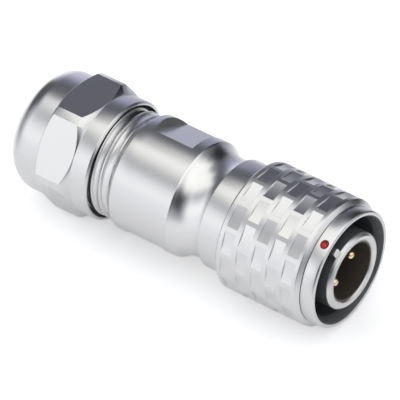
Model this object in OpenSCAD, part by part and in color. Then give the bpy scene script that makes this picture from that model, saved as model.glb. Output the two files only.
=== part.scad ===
// Straight push-pull cable plug of a circular sensor connector.
// The axis is X, with the mating face towards +X and the cable nut towards -X.
// The origin is on the axis, in the plane of the front collar's rim.
// A clock angle is counted about X from the top, towards -Y.

/* [Mating end] */
// Wall of the front collar round the liner's seat
collar_wall = 0.63; // [0.55:0.01:0.9]
// Length of the front collar
collar_len = 2.1; // [1.9:0.1:3]
// Radius on the collar's outer front edge
rim_round = 0.3; // [0.1:0.05:0.4]
// How far the liner's seat is wider than the socket on each side
mouth_step = 0.7; // [0.6:0.05:0.9]
// Depth of the liner's seat
mouth_depth = 1.3; // [0.9:0.1:1.4]
// Thickness of the black liner at its front edge, from where it widens to meet the socket's bore
liner_wall = 0.12; // [0.08:0.02:0.4]
// Width of the annular socket, from its bore to the key shell
socket_gap = 1.65; // [1.6:0.01:1.8]
// Depth of the annular socket
socket_depth = 10.2; // [9.6:0.1:11]
// Clock angle of the key and the dot
key_clock = 32.5; // [0:0.5:90]
// Diameter of the red dot
dot_d = 1.35; // [0.8:0.05:1.5]

/* [Key shell and contacts] */
// Wall of the key shell
key_shell_wall = 1.05; // [0.9:0.05:1.2]
// How far the key shell stands out past the rim
key_shell_proud = 0.65; // [0.3:0.01:0.8]
// Radius on the key shell's outer front edge
key_shell_round = 0.6; // [0.2:0.05:0.7]
// Width of the key ridge
key_w = 1.1; // [0.8:0.1:2]
// Height of the key ridge on the shell
key_h = 1.5; // [1:0.05:1.5]
// Length of the key ridge
key_len = 5.3; // [3:0.1:7]
// Number of contacts
pin_count = 3; // [3:1:3]
// Diameter of a contact
pin_d = 1.3; // [1:0.05:1.5]
// Diameter of the circle that the contacts stand on
pin_circle_d = 5.2; // [4.6:0.1:5.6]
// Depth of the contacts' tips behind the rim
pin_tip_depth = 1.5; // [1:0.1:3]
// Depth of the insulator's cup behind the rim
cup_depth = 6; // [4.5:0.1:6.5]

/* [Release sleeve and lock] */
// Diameter of the release sleeve
sleeve_d = 19; // [18:0.05:21]
// Wall of the release sleeve round the spring
sleeve_wall = 0.593; // [0.5:0.001:0.7]
// Length of the release sleeve
sleeve_len = 13.9; // [13.5:0.1:16]
// How far the sleeve slides back
sleeve_travel = 2; // [1:0.1:2.2]
// Wall of the barrel under the sleeve
barrel_wall = 0.72; // [0.66:0.01:0.9]
// Length of the smooth barrel that shows behind the sleeve
band_len = 3.85; // [3.4:0.05:6]
// Rings of knurl facets
knurl_rings = 5; // [3:1:5]
// Facets in one ring
knurl_facets = 15; // [13:1:18]
// Distance from one ring of facets to the next
knurl_pitch = 2.53; // [2.2:0.01:2.6]
// Length of a facet along the axis
knurl_facet_len = 1.75; // [1.2:0.05:1.9]
// Depth of a facet at its middle
knurl_depth = 0.145; // [0.08:0.005:0.16]
// Number of lock balls
ball_count = 4; // [4:1:4]
// Diameter of a lock ball
ball_d = 1.4; // [1.3:0.02:1.44]
// Distance of the lock balls behind the collar
ball_from_collar = 4.5; // [4.3:0.1:4.8]
// Diameter of the return spring's wire
spring_wire_d = 0.45; // [0.3:0.05:0.5]
// Turns of the return spring
spring_turns = 5.5; // [4:0.5:6]

/* [Back shell] */
// How far the back shell's body stands out past the barrel
shell_step = 0.53; // [0.4:0.01:0.9]
// Length of the back shell's plain cylinder
shell_len = 9.8; // [9:0.1:14]
// How far the coved neck's lowest place is set in from the barrel
neck_step = 0.66; // [0.5:0.02:1.1]
// Length of the coved neck, from the barrel to the shoulder's edge
neck_len = 5.103; // [4.6:0.001:6]
// Radius to which the shoulder's edge is rounded
shoulder_r = 0.5; // [0.2:0.1:1]
// Size across the two wrench flats
flat_af = 15; // [14.4:0.1:16.4]
// Length of a wrench flat
flat_len = 6.5; // [4:0.1:7]
// Distance of the wrench flats behind the shoulder's edge
flat_from_edge = 1.5; // [0.8:0.1:2.4]
// Clock angle of the wrench flats, from the key
flat_clock = -60; // [-90:5:90]
// Diameter of the gland thread
thread_d = 16; // [16:0.1:16.4]
// Pitch of the gland thread
thread_pitch = 1.5; // [1:0.25:1.5]
// Length of the gland thread
thread_len = 9.6; // [8.6:0.1:12]
// Length of thread that shows in front of the nut
thread_show = 3.8; // [1:0.1:4.4]

/* [Gland nut] */
// Size across the nut's flats
nut_af = 18; // [18:0.1:19]
// Diameter to which the nut's corners are turned
nut_corner_d = 20.1; // [19.4:0.1:20.4]
// Length of the hexagon
hex_len = 5.9; // [5:0.1:8]
// Diameter of the nut's collar and dome
nut_round_d = 17.9; // [17.7:0.05:17.95]
// Length of the nut's front collar
nut_collar_len = 2.8; // [2:0.1:4]
// Length of the dome behind the hexagon
dome_len = 5.7; // [4.8:0.1:8]
// Radius of the dome's edge
dome_round = 3.5; // [2:0.1:4]
// Diameter of the cable hole
cable_hole_d = 7.9; // [7.9:0.1:8.6]
// Bore of the rubber grommet
grommet_bore = 6.2; // [4:0.1:7]
// Fingers of the clamp collet
collet_fingers = 6; // [4:1:8]

/* [Hidden] */
$fn = 96;

// Clearances: a seated piece, a sliding or turning piece, and two faces that stop each other
seat_gap = 0.02;
run_gap = 0.05;
stop_gap = 0.06;
edge = 0.12;
cut = 1;

// Sleeve and lock across the axis, from the outside inwards: the spring's pocket, the land that holds the
// balls in, and the balls, each on the lip of its hole and a little way into the socket
sleeve_r = sleeve_d / 2;
pocket_r = sleeve_r - sleeve_wall;
end_ring_step = 0.1;
end_ring_seat_r = pocket_r + end_ring_step;
release_r = pocket_r;
release_step = 0.3;
land_r = release_r - release_step;
ball_r = ball_d / 2;
ball_play = 0.04;
ball_hole_r = ball_r + ball_play;
ball_lip_share = 0.86;
ball_lip_r = ball_r * ball_lip_share;
ball_lip = 0.1;
ball_seat = sqrt(ball_r * ball_r - ball_lip_r * ball_lip_r);
ball_circle_r = land_r - run_gap - ball_r;
ball_clock = 45;

// Front shell, round the socket's bore
socket_r = ball_circle_r - ball_seat - ball_lip;
barrel_r = socket_r + barrel_wall;
mouth_r = socket_r + mouth_step;
collar_r = mouth_r + collar_wall;
x_collar = -collar_len;
dot_r = dot_d / 2;
dot_x = -0.98;
dot_depth = 0.4;
dot_dome = 0.14;

// Sleeve along the axis
x_sleeve = x_collar - stop_gap;
x_sleeve_end = x_sleeve - sleeve_len;
x_barrel_end = x_sleeve_end - band_len;
end_ring_len = 1;
stop_ring_w = 0.6;
stop_ring_clock = 180;
stop_from_end_ring = 0.55;
x_stop_rear = x_sleeve_end + end_ring_len + stop_from_end_ring;
x_stop_front = x_stop_rear + stop_ring_w;
stop_groove_depth = 0.36;
stop_groove_r = barrel_r - stop_groove_depth;
ball_x = x_collar - ball_from_collar;
land_half = 0.8;
x_land_front = ball_x + land_half;
release_spare = 0.1;
pocket_wall = 0.6;
x_release_front = x_land_front + sleeve_travel + release_spare;
x_pocket = ball_x - land_half - pocket_wall;
sleeve_bore_r = barrel_r + run_gap;
sleeve_front_step = 0.07;
sleeve_front_r = collar_r + sleeve_front_step;
sleeve_bevel = 0.45;
sleeve_rear_edge = 0.3;
knurl_first = 1.97;
knurl_step = 360 / knurl_facets;

// Return spring, between the sleeve's pocket and the stop ring
spring_r = (barrel_r + pocket_r) / 2;
spring_front = x_pocket - stop_gap - spring_wire_d / 2;
spring_rear = x_stop_front + stop_gap + spring_wire_d / 2;
spring_steps = 18;
wire_sides = 6;

// Key shell, insulators and contacts
key_shell_r = socket_r - socket_gap;
insert_bore_r = key_shell_r - key_shell_wall;
key_bore_round = 0.2;
key_set_back = 0.32;
insert_set_in = 0.32;
insert_r = insert_bore_r - seat_gap;
insert_flange_h = 0.3;
insert_flange_len = 0.5;
insert_seat_r = insert_bore_r + insert_flange_h;
insert_flange_r = insert_seat_r - seat_gap;
cup_wall = 0.4;
floor_web = 0.8;
flange_len = 1;
x_floor = -socket_depth;
x_flange_front = x_floor - floor_web;
x_flange_rear = x_flange_front - flange_len;
rear_bore_step = 0.5;
rear_bore_r = socket_r - rear_bore_step;
flange_r = rear_bore_r - seat_gap;
x_key = key_shell_proud - key_set_back;
x_insert_front = key_shell_proud - insert_set_in;
retainer_len = 1.2;
x_retainer_rear = x_flange_rear - seat_gap - retainer_len;
retainer_bore_r = 3.95;
retainer_slot = 1;
pin_r = pin_d / 2;
pin_circle_r = pin_circle_d / 2;
pin_collar_h = 0.27;
pin_collar_r = pin_r + pin_collar_h;
pin_collar_len = 0.96;
rear_insulator_len = 1.58;
x_insulator_rear = x_flange_rear + rear_insulator_len + seat_gap;
x_insert_flange = x_insulator_rear + insert_flange_len;
pin_tip_round = 0.35;
pin_dimple_r = 0.15;
pin_dimple_depth = 0.2;
solder_cup_wall = 0.3;
solder_cup_step = 0.1;
solder_cup_bore_r = pin_r - solder_cup_step;
solder_cup_r = solder_cup_bore_r + solder_cup_wall;
solder_cup_len = 3.2;
solder_cup_open = 2;
solder_cup_gap = 0.6;
face_seal_len = 1;

// Back shell
shell_r = barrel_r + shell_step;
neck_r = barrel_r - neck_step;
spigot_r = rear_bore_r - run_gap;
spigot_gap = 0.4;
spigot_wall = 1.45;
x_spigot = x_retainer_rear - spigot_gap;
spigot_bore_r = spigot_r - spigot_wall;
ring_section_r = 0.38;
ring_groove_depth = 2 * ring_section_r - seat_gap;
ring_groove_w = 1;
ring_from_end = 1.2;
x_ring = x_barrel_end + ring_from_end;
shoulder_start = 10;
shoulder_end = 41;
x_edge = x_barrel_end - neck_len;
shoulder_drop = shoulder_r * (cos(shoulder_start) - cos(shoulder_end));
cove_r = (shell_r - neck_r - shoulder_drop) / (1 - cos(shoulder_end));
cove_len = cove_r * sin(shoulder_end);
shoulder_len = shoulder_r * (sin(shoulder_end) - sin(shoulder_start));
x_neck = x_edge + shoulder_len + cove_len;
neck_front_turn = asin((x_barrel_end - seat_gap - x_neck) / cove_r);
x_shell_end = x_edge - shell_len;
x_thread_end = x_shell_end - thread_len;
x_flat_front = x_edge - flat_from_edge;
x_flat_rear = x_flat_front - flat_len;
// The flats' rear walls lean back by this run for each rise
flat_lean = 0.65;
thread_depth_share = 0.6134;
thread_root_r = thread_d / 2 - thread_depth_share * thread_pitch;
thread_chamfer = 0.5;
gland_wall = 0.9;
gland_bore_r = thread_root_r - gland_wall;
gland_depth = 8.4;
x_gland_floor = x_thread_end + gland_depth;

// Gland nut, in front of and behind the thread's end
nut_bore_r = thread_d / 2 + run_gap;
nut_round_r = nut_round_d / 2;
nut_corner_r = nut_corner_d / 2;
nut_mouth_cone = 0.4;
nut_mouth_r = nut_bore_r + nut_mouth_cone;
nut_mouth_len = 0.9;
nut_lip = 0.25;
x_nut = x_shell_end - thread_show;
x_hex = x_nut - nut_collar_len;
x_hex_end = x_hex - hex_len;
x_nut_end = x_hex_end - dome_len;
hex_front_bevel = 0.99;
hex_rear_bevel = 0.77;
// The hexagon's bevels are carried on a little way into the round body
hex_sunk = 0.3;
hex_root_r = nut_round_r - hex_sunk * (nut_corner_r - nut_round_r);
x_hex_root_front = x_hex + hex_sunk * hex_front_bevel;
x_hex_root_rear = x_hex_end - hex_sunk * hex_rear_bevel;
end_wall_spare = 0.04;
end_wall = dome_round + end_wall_spare;
x_nut_floor = x_nut_end + end_wall;
nut_pocket_r = 6.1;
nut_pocket_len = 1.3;
nut_cone_len = 1.8;
nut_thread_end = x_nut_floor + nut_pocket_len + nut_cone_len;
cable_hole_r = cable_hole_d / 2;
hole_edge = 0.6;

// Cable clamp
clamp_r = gland_bore_r - run_gap;
washer_len = 0.8;
washer_play = 0.1;
washer_r = nut_pocket_r - washer_play;
x_washer_rear = x_nut_floor + stop_gap;
x_washer_front = x_washer_rear + washer_len;
x_collet_end = x_washer_front + stop_gap;
collet_seat_len = 1.9;
x_collet = x_thread_end + collet_seat_len;
collet_tip_r = 5.6;
collet_bore_r = cable_hole_r + run_gap;
collet_slot = 0.7;
collet_slot_from = 1.1;
grommet_r = grommet_bore / 2;

// Points of an arc round a centre, from one angle to another
function arc(c, r, from, to, n = 8) =
    [for (i = [0:n]) let (a = from + (to - from) * i / n) c + r * [cos(a), sin(a)]];

// Turns a closed outline of [radius, x] points round the axis
module turned(outline) rotate([0, 90, 0]) rotate_extrude() polygon(outline);

// Carries what is made at the top round to a clock angle
module at_clock(angle) rotate([angle, 0, 0]) children();

// Cylinder along X between two planes
module rod(x0, x1, r) translate([x0, 0, 0]) rotate([0, 90, 0]) cylinder(h = x1 - x0, r = r);

// Ring along X between two planes
module ring(x0, x1, r_out, r_in) difference() {
    rod(x0, x1, r_out);
    rod(x0 - cut, x1 + cut, r_in);
}

// Carries a shape on the axis to each contact's place
module at_pin(i) at_clock(key_clock + i * 360 / pin_count) translate([0, 0, pin_circle_r]) children();

// Front shell: collar, mouth, annular socket, floor web and the barrel with its stop groove
module plug_shell() color("gainsboro") difference() {
    turned(concat(
        [[mouth_r + edge, 0]],
        arc([collar_r - rim_round, -rim_round], rim_round, 90, 0),
        [[collar_r, x_collar], [barrel_r, x_collar],
         [barrel_r, x_stop_front + seat_gap], [stop_groove_r, x_stop_front + seat_gap],
         [stop_groove_r, x_stop_rear - seat_gap], [barrel_r, x_stop_rear - seat_gap],
         [barrel_r, x_barrel_end + edge], [barrel_r - edge, x_barrel_end],
         [rear_bore_r, x_barrel_end], [rear_bore_r, x_flange_front],
         [key_shell_r + seat_gap, x_flange_front], [key_shell_r + seat_gap, x_floor],
         [socket_r, x_floor], [socket_r, -mouth_depth],
         [mouth_r, -mouth_depth], [mouth_r, -edge]]));
    for (i = [0:ball_count - 1]) at_clock(key_clock + ball_clock + i * 360 / ball_count) {
        translate([ball_x, 0, socket_r - cut]) cylinder(h = 3 * cut, r = ball_lip_r);
        translate([ball_x, 0, socket_r + ball_lip]) cylinder(h = 2 * cut, r = ball_hole_r);
    }
    at_clock(key_clock) translate([dot_x, 0, collar_r - dot_depth]) cylinder(h = cut, r = dot_r + seat_gap);
}

// Red dot: a short plug of enamel with a domed top
module index_dot() color("firebrick") at_clock(key_clock)
    translate([dot_x, 0, collar_r - dot_depth + seat_gap]) intersection() {
        cylinder(h = dot_depth + dot_dome, r = dot_r);
        dome_r = (dot_r * dot_r + dot_dome * dot_dome) / (2 * dot_dome);
        translate([0, 0, dot_depth + dot_dome - seat_gap - dome_r]) sphere(r = dome_r);
    }

// Black liner pressed into the collar's mouth, tapered to lead the mating half in
module mouth_liner() color("dimgray") turned([
    [mouth_r - seat_gap, -edge - seat_gap], [mouth_r - seat_gap, -mouth_depth + seat_gap],
    [socket_r, -mouth_depth + seat_gap], [mouth_r - liner_wall, -edge - seat_gap]]);

// Inner tube with a rounded front, the key ridge, the rear flange and the seat of the insulator's flange
module key_shell() color("silver") union() {
    turned(concat(
        arc([insert_bore_r + key_bore_round, key_shell_proud - key_bore_round], key_bore_round, 180, 90, 4),
        arc([key_shell_r - key_shell_round, key_shell_proud - key_shell_round], key_shell_round, 90, 0, 6),
        [[key_shell_r, x_flange_front - seat_gap],
         [flange_r, x_flange_front - seat_gap], [flange_r, x_flange_rear],
         [insert_seat_r, x_flange_rear], [insert_seat_r, x_insert_flange + seat_gap],
         [insert_bore_r, x_insert_flange + seat_gap]]));
    at_clock(key_clock) translate([x_key - key_len, -key_w / 2, insert_bore_r + edge])
        cube([key_len, key_w, key_shell_r + key_h - insert_bore_r - edge]);
}

// Moulded insert: a cup round the contacts, the block that they pass through and the flange that stops it
module insulator() color([0.16, 0.14, 0.13]) difference() {
    turned([
        [insert_r - cup_wall, x_insert_front], [insert_r, x_insert_front],
        [insert_r, x_insert_flange], [insert_flange_r, x_insert_flange],
        [insert_flange_r, x_insulator_rear], [0, x_insulator_rear], [0, -cup_depth],
        [insert_r - cup_wall, -cup_depth]]);
    for (i = [0:pin_count - 1]) at_pin(i) {
        rod(x_insulator_rear - cut, 0, pin_r + seat_gap);
        rod(x_insulator_rear - cut, x_insulator_rear + pin_collar_len + 2 * seat_gap,
            pin_collar_r + seat_gap);
    }
}

// Disc behind the insert that holds the contacts' collars
module rear_insulator() color([0.2, 0.18, 0.17]) difference() {
    rod(x_flange_rear, x_flange_rear + rear_insulator_len, insert_flange_r);
    for (i = [0:pin_count - 1]) at_pin(i)
        rod(x_flange_rear - cut, x_insulator_rear + cut, pin_r + seat_gap);
}

// Contact with a rounded tip, a holding collar and a solder cup cut open on its outer side
module contact_pin(i) color("khaki") at_pin(i) {
    x_tip = -pin_tip_depth;
    x_cup = x_flange_rear - solder_cup_gap;
    difference() {
        turned(concat(
            [[0, x_tip - pin_dimple_depth], [pin_dimple_r, x_tip - pin_dimple_depth], [pin_dimple_r, x_tip]],
            arc([pin_r - pin_tip_round, x_tip - pin_tip_round], pin_tip_round, 90, 0, 5),
            [[pin_r, x_insulator_rear + pin_collar_len], [pin_collar_r, x_insulator_rear + pin_collar_len],
             [pin_collar_r, x_insulator_rear], [pin_r, x_insulator_rear],
             [pin_r, x_cup], [solder_cup_r, x_cup],
             [solder_cup_r, x_cup - solder_cup_len], [solder_cup_bore_r, x_cup - solder_cup_len],
             [solder_cup_bore_r, x_cup - solder_cup_len + solder_cup_open + pin_r],
             [0, x_cup - solder_cup_len + solder_cup_open + pin_r]]));
        translate([x_cup - solder_cup_len - cut, -cut, 0]) cube([solder_cup_open + cut, 2 * cut, 2 * cut]);
    }
}
module contact_pin_1() contact_pin(0);
module contact_pin_2() contact_pin(1);
module contact_pin_3() contact_pin(2);

// Rubber ring on the socket's floor, with a tapered lip
module face_seal() color([0.12, 0.12, 0.13]) turned([
    [key_shell_r + run_gap, x_floor], [socket_r - run_gap, x_floor],
    [socket_r - run_gap, x_floor + face_seal_len / 2],
    [socket_r - face_seal_len / 2, x_floor + face_seal_len],
    [key_shell_r + face_seal_len / 2, x_floor + face_seal_len],
    [key_shell_r + run_gap, x_floor + face_seal_len / 2]]);

// Screw ring with two spanner slots, behind the key shell's flange
module insert_retainer() color("darkgray") difference() {
    ring(x_retainer_rear, x_flange_rear - seat_gap, rear_bore_r - seat_gap, retainer_bore_r);
    translate([x_retainer_rear - cut, -rear_bore_r - cut, -retainer_slot / 2])
        cube([cut + retainer_len / 2, 2 * (rear_bore_r + cut), retainer_slot]);
}

// Balls that lock the mating half, each in its hole through the barrel
module lock_ball(i) color("lightgray") at_clock(key_clock + ball_clock + i * 360 / ball_count)
    translate([ball_x, 0, ball_circle_r]) sphere(r = ball_r);
module lock_ball_1() lock_ball(0);
module lock_ball_2() lock_ball(1);
module lock_ball_3() lock_ball(2);
module lock_ball_4() lock_ball(3);

// Open ring in the barrel's groove that takes the spring's push
module spring_stop_ring() color("slategray") difference() {
    ring(x_stop_rear, x_stop_front, spring_r + spring_wire_d / 2, stop_groove_r + seat_gap);
    at_clock(stop_ring_clock) translate([x_stop_rear - cut, -cut, 0])
        cube([stop_ring_w + 2 * cut, 2 * cut, sleeve_r]);
}

// Prism of facet planes that one ring of knurl is cut back to
module knurl_cut(x, turn) translate([x, 0, 0]) rotate([0, 90, 0])
    linear_extrude(knurl_facet_len, center = true) difference() {
        circle(r = sleeve_r + cut);
        corner_r = (sleeve_r - knurl_depth) / cos(knurl_step / 2);
        polygon([for (i = [0:knurl_facets - 1])
            let (a = 180 + turn + (i + 0.5) * knurl_step) corner_r * [cos(a), sin(a)]]);
    }

// Release sleeve: bevelled front, brick rings of flat facets, and inside the lock land, the release
// recess in front of it and the spring pocket behind
module release_sleeve() color("whitesmoke") difference() {
    turned([
        [sleeve_bore_r, x_sleeve], [sleeve_front_r, x_sleeve], [sleeve_r, x_sleeve - sleeve_bevel],
        [sleeve_r, x_sleeve_end + sleeve_rear_edge], [sleeve_r - sleeve_rear_edge, x_sleeve_end],
        [end_ring_seat_r, x_sleeve_end], [end_ring_seat_r, x_sleeve_end + end_ring_len],
        [pocket_r, x_sleeve_end + end_ring_len], [pocket_r, x_pocket], [land_r, x_pocket],
        [land_r, x_land_front], [release_r, x_land_front], [release_r, x_release_front],
        [sleeve_bore_r, x_release_front]]);
    for (k = [0:knurl_rings - 1])
        knurl_cut(x_sleeve - knurl_first - k * knurl_pitch, key_clock + (k % 2 == 0 ? knurl_step / 2 : 0));
}

// Ring pressed into the sleeve's rear, which runs on the barrel
module sleeve_end_ring() color("silver") ring(
    x_sleeve_end + edge, x_sleeve_end + end_ring_len - seat_gap, end_ring_seat_r - seat_gap, sleeve_bore_r);

// Point of the spring's wire: step i along the helix, side j round the wire
spring_rings = round(spring_turns * spring_steps);
function wire_point(i, j) =
    let (turn = 360 * i / spring_steps, side = 360 * j / wire_sides,
         r = spring_r + spring_wire_d / 2 * cos(side),
         x = spring_front + (spring_rear - spring_front) * i / spring_rings + spring_wire_d / 2 * sin(side))
    [x, -r * sin(turn), r * cos(turn)];

// Return spring: a round wire carried along a helix
module return_spring() color("darkslategray") polyhedron(
    points = [for (i = [0:spring_rings]) for (j = [0:wire_sides - 1]) wire_point(i, j)],
    faces = concat(
        [[for (j = [0:wire_sides - 1]) j]],
        [for (i = [0:spring_rings - 1]) for (j = [0:wire_sides - 1]) let (k = (j + 1) % wire_sides)
            [i * wire_sides + j, (i + 1) * wire_sides + j, (i + 1) * wire_sides + k, i * wire_sides + k]],
        [[for (j = [wire_sides - 1:-1:0]) spring_rings * wire_sides + j]]));

// Rubber ring in the spigot's groove, against the barrel's rear bore
module shell_o_ring() color([0.1, 0.1, 0.1]) rotate([0, 90, 0]) rotate_extrude()
    translate([rear_bore_r - seat_gap - ring_section_r, x_ring]) circle(r = ring_section_r);

// Rear shell: screwed spigot, coved neck and shoulder, plain body with two wrench flats, thread core
module back_shell() color("gainsboro") difference() {
    turned(concat(
        [[spigot_bore_r, x_spigot], [spigot_r - edge, x_spigot], [spigot_r, x_spigot - edge],
         [spigot_r, x_ring + ring_groove_w / 2],
         [spigot_r - ring_groove_depth, x_ring + ring_groove_w / 2],
         [spigot_r - ring_groove_depth, x_ring - ring_groove_w / 2],
         [spigot_r, x_ring - ring_groove_w / 2],
         [spigot_r, x_barrel_end - seat_gap]],
        arc([neck_r + cove_r, x_neck], cove_r, 180 - neck_front_turn, 180 + shoulder_end, 14),
        arc([shell_r - shoulder_r * cos(shoulder_start), x_edge - shoulder_r * sin(shoulder_start)],
            shoulder_r, shoulder_end, shoulder_start, 6),
        [[shell_r, x_shell_end + edge], [shell_r - edge, x_shell_end],
         [thread_root_r, x_shell_end], [thread_root_r, x_thread_end + thread_chamfer],
         [thread_root_r - thread_chamfer / 2, x_thread_end],
         [gland_bore_r, x_thread_end], [gland_bore_r, x_gland_floor], [spigot_bore_r, x_gland_floor]]));
    for (side = [0, 180]) at_clock(key_clock + flat_clock + side)
        translate([0, shell_r, 0]) rotate([90, 0, 0]) linear_extrude(2 * shell_r) polygon([
            [x_flat_front, flat_af / 2], [x_flat_front, shell_r + cut],
            [x_flat_rear - flat_lean * (shell_r + cut - flat_af / 2), shell_r + cut],
            [x_flat_rear, flat_af / 2]]);
}

// Rubber bush that closes on the cable
module cable_grommet() color([0.13, 0.13, 0.14])
    ring(x_collet + seat_gap, x_gland_floor - seat_gap, clamp_r, grommet_r);

// Plastic collet: a ring in the shell's mouth with slotted fingers behind it
module clamp_collet() color("ivory") difference() {
    turned([
        [collet_bore_r, x_collet], [clamp_r, x_collet], [clamp_r, x_thread_end],
        [collet_tip_r, x_collet_end], [collet_bore_r, x_collet_end]]);
    for (i = [0:collet_fingers - 1]) at_clock(i * 360 / collet_fingers)
        translate([x_collet_end - cut, -collet_slot / 2, 0])
            cube([x_collet - collet_slot_from - x_collet_end + cut, collet_slot, clamp_r + cut]);
}

// Washer that the nut pushes on the collet
module thrust_washer() color("silver") ring(x_washer_rear, x_washer_front, washer_r, cable_hole_r);

// Cable nut: turned body with collar and dome, a hexagon with turned corners, and the threaded bore
module gland_nut() color("gainsboro") difference() {
    union() {
        turned(concat(
            [[0, x_nut], [nut_round_r - nut_lip, x_nut], [nut_round_r, x_nut - nut_lip],
             [nut_round_r, x_nut_end + dome_round]],
            arc([nut_round_r - dome_round, x_nut_end + dome_round], dome_round, 0, -90, 12),
            [[0, x_nut_end]]));
        intersection() {
            translate([x_hex_root_rear, 0, 0]) rotate([0, 90, 0]) rotate([0, 0, 30])
                cylinder(h = x_hex_root_front - x_hex_root_rear, r = nut_af / 2 / cos(30), $fn = 6);
            turned([
                [0, x_hex_root_front], [hex_root_r, x_hex_root_front],
                [nut_corner_r, x_hex - hex_front_bevel], [nut_corner_r, x_hex_end + hex_rear_bevel],
                [hex_root_r, x_hex_root_rear], [0, x_hex_root_rear]]);
        }
    }
    turned([
        [0, x_nut + cut], [nut_mouth_r, x_nut + cut], [nut_mouth_r, x_nut - nut_mouth_len],
        [nut_bore_r, x_nut - nut_mouth_len - nut_mouth_cone], [nut_bore_r, nut_thread_end],
        [nut_pocket_r, nut_thread_end - nut_cone_len], [nut_pocket_r, x_nut_floor],
        [cable_hole_r, x_nut_floor], [cable_hole_r, x_nut_end + hole_edge],
        [cable_hole_r + hole_edge, x_nut_end], [cable_hole_r + hole_edge, x_nut_end - cut],
        [0, x_nut_end - cut]]);
}

plug_shell();
index_dot();
mouth_liner();
key_shell();
insulator();
rear_insulator();
contact_pin_1();
contact_pin_2();
contact_pin_3();
face_seal();
insert_retainer();
lock_ball_1();
lock_ball_2();
lock_ball_3();
lock_ball_4();
spring_stop_ring();
release_sleeve();
sleeve_end_ring();
return_spring();
shell_o_ring();
back_shell();
cable_grommet();
clamp_collet();
thrust_washer();
gland_nut();
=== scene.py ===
# Straight push-pull cable plug of a circular sensor connector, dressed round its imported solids.
# The axis is X with the mating face towards +X; sizes are in millimetres until a mesh is written.
# A clock angle is counted about X from the top (+Z) towards -Y, as in the part's own source.

import bpy
import numpy as np
from mathutils import Matrix, Vector


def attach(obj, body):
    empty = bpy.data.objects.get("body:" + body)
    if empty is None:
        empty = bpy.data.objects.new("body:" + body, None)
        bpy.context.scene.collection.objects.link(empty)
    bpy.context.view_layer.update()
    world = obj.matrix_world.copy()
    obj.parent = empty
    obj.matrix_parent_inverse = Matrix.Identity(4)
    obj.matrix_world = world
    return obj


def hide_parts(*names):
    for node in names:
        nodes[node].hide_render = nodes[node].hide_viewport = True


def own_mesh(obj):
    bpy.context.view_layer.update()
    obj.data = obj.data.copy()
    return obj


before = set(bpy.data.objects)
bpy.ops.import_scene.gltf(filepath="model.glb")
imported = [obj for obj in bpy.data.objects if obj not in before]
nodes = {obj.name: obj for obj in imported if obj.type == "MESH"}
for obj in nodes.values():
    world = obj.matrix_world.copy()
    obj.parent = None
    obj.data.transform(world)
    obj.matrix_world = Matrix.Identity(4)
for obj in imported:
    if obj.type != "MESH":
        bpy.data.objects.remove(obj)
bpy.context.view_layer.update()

# Front shell: one turned and chromed brass piece, the collar with the open mouth and the smooth barrel
# behind it that the release sleeve slides on. Its socket is lined in black. The back shell screws into it.
MM = 0.001
SMOOTH_BELOW, JOIN_WITHIN = np.radians(35), 1.7e-4
CORNER_STEPS = 4
CORNER = CORNER_STEPS + 1
FINE_EDGE, ROUND_STEPS = 0.05, 192


def eased(corners, steps=CORNER_STEPS):
    """Outline of (x, radius) points from closed corners (x, radius, ease).

    Each corner becomes an arc of radius ease that touches both of its sides: the arc's centre is
    ease / sin(h) along the corner's bisector, h being half the angle between the sides, and its points turn
    evenly from one touching point to the other. A corner gives steps + 1 points, and with no ease they fall
    on one place.
    """
    corners = np.asarray(corners, float)
    here, ease = corners[:, :2], corners[:, 2:3]
    back = np.roll(here, 1, 0) - here
    ahead = np.roll(here, -1, 0) - here
    back /= np.linalg.norm(back, axis=1, keepdims=True)
    ahead /= np.linalg.norm(ahead, axis=1, keepdims=True)
    middle = back + ahead
    middle /= np.maximum(np.linalg.norm(middle, axis=1, keepdims=True), 1e-9)
    half = np.arccos(np.clip((back * ahead).sum(1, keepdims=True), -1, 1)) / 2
    centre = here + middle * ease / np.sin(half)
    first = here + back * ease / np.tan(half) - centre
    last = here + ahead * ease / np.tan(half) - centre
    turn = np.maximum(np.pi - 2 * half, 1e-6)[:, None]
    share = np.linspace(0, 1, steps + 1)[None, :, None]
    arc = np.sin((1 - share) * turn) * first[:, None] + np.sin(share * turn) * last[:, None]
    return (centre[:, None] + arc / np.sin(turn)).reshape(-1, 2)


def clocks(count, knots=(), clear=()):
    """Clock angles in degrees from 0 to 360: count even steps and the knots.

    No even step is kept inside a cleared span (middle, reach).
    """
    even = np.linspace(0, 360, count + 1)
    for middle, reach in clear:
        even = even[np.abs((even - middle + 180) % 360 - 180) >= reach]
    every = np.concatenate([even, np.asarray(knots, float).ravel() % 360, [0, 360]])
    return np.unique(np.round(every, 6))


def grid_faces(index):
    """Four-cornered faces between the neighbouring rows and columns of a grid of point numbers."""
    return np.stack([index[:-1, :-1], index[1:, :-1], index[1:, 1:], index[:-1, 1:]], -1).reshape(-1, 4)


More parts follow.
